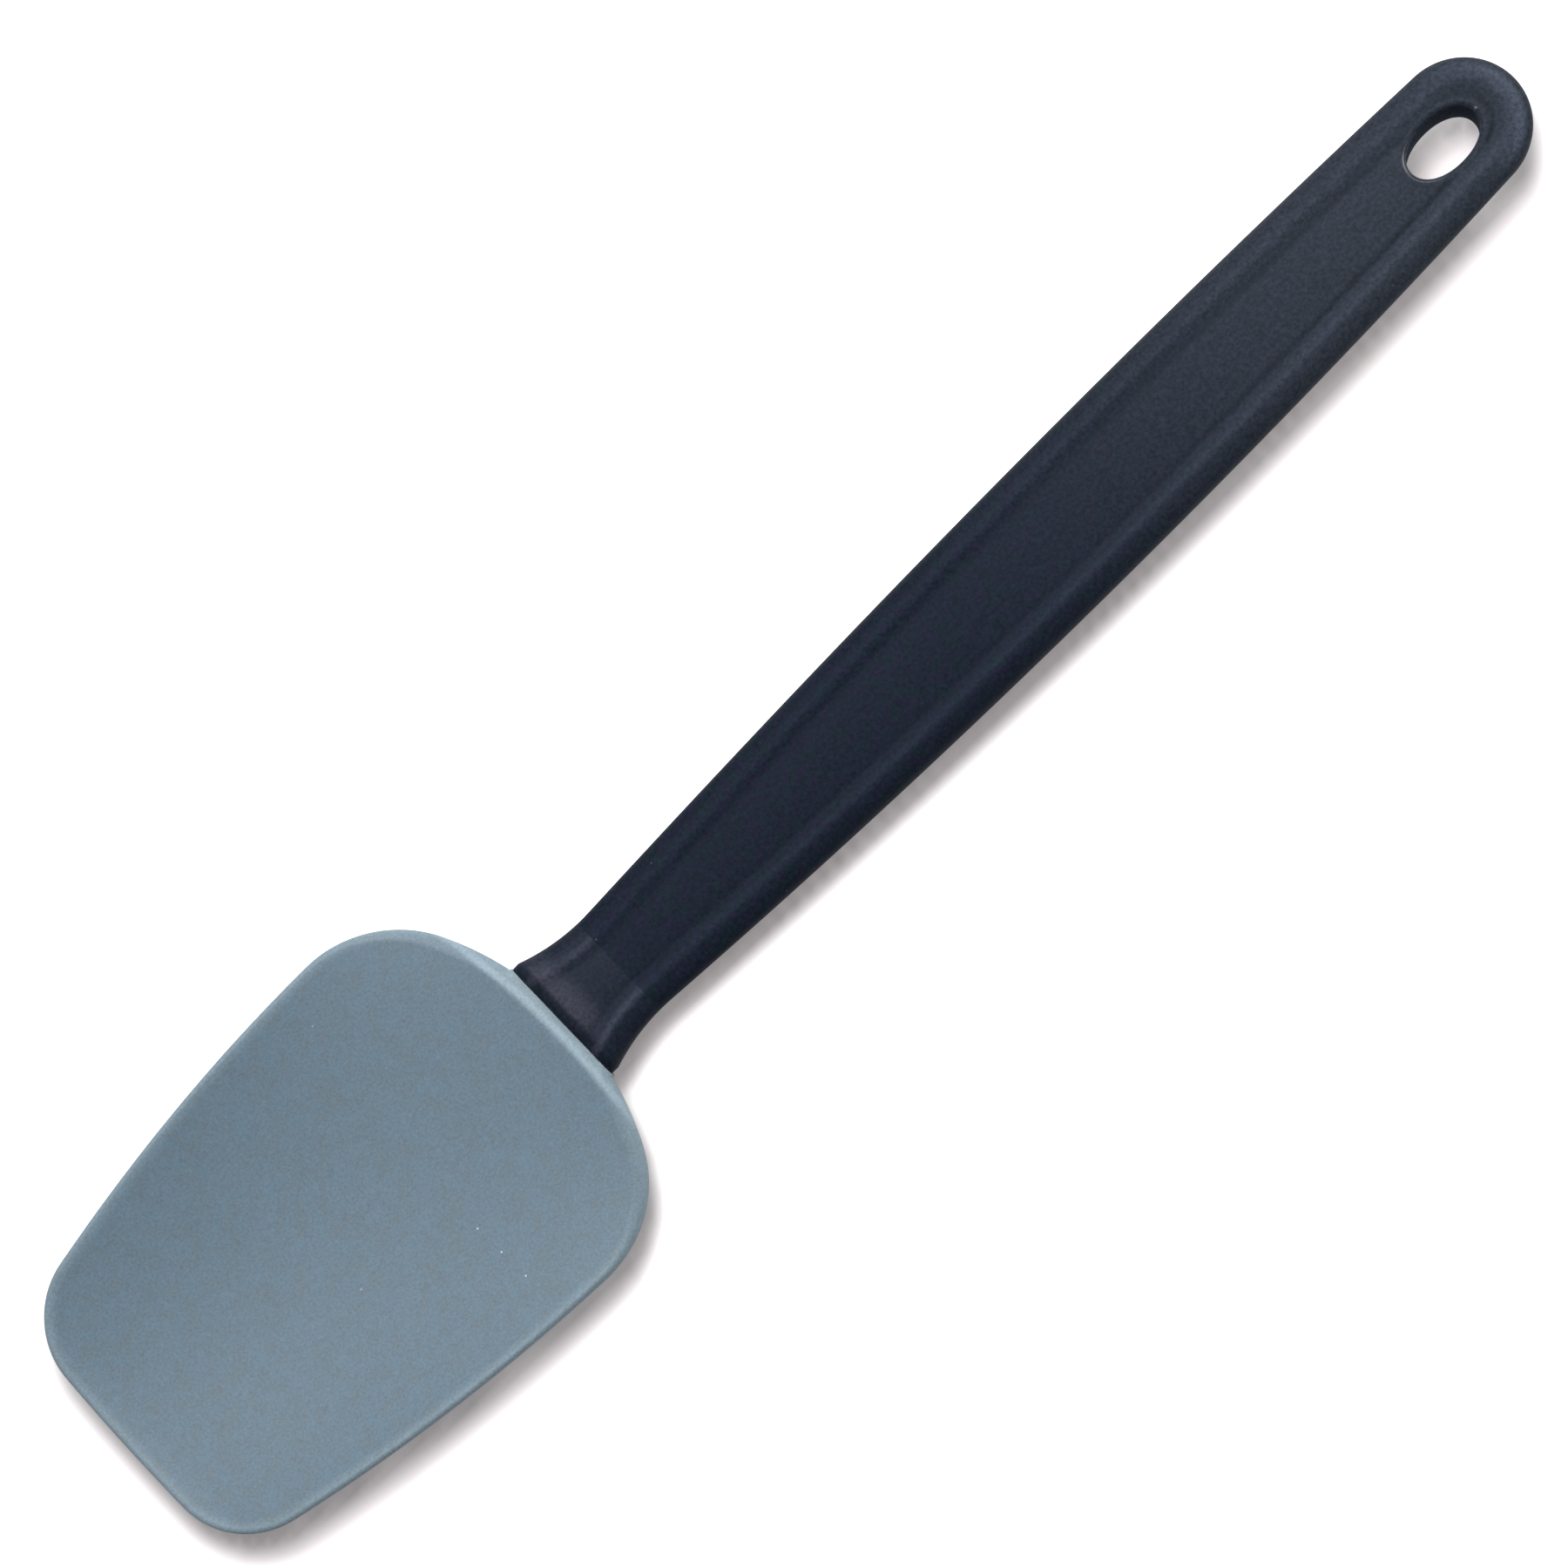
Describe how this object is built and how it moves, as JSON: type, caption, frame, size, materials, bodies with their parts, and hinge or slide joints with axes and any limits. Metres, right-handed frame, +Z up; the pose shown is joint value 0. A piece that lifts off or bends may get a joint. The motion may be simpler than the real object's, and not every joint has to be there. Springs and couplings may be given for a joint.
{
  "type": "silicone spoon",
  "caption": "Kitchen spoon with a shallow flexible scoop moulded on a stiff core, and a slim matt handle with raised rims and an oval hang slot.",
  "frame": {"origin": "on the table under the middle of the spoon, which lies on its back: the middle of its length and width, at the height of what it rests on", "axes": "+X along the spoon from the head to the end of the handle, +Y across it, +Z up out of the open side of the scoop"},
  "size_m": [0.28, 0.0636, 0.015],
  "materials": {
    "silicone": "matt blue-grey silicone with a faint mottle",
    "core_nylon": "as moulded, hidden",
    "handle_nylon": "matt dark blue-black with a fine moulded grain"
  },
  "bodies": {
    "root": {"silicone_head": "silicone", "core": "core_nylon", "handle": "handle_nylon"}
  },
  "joints": []
}
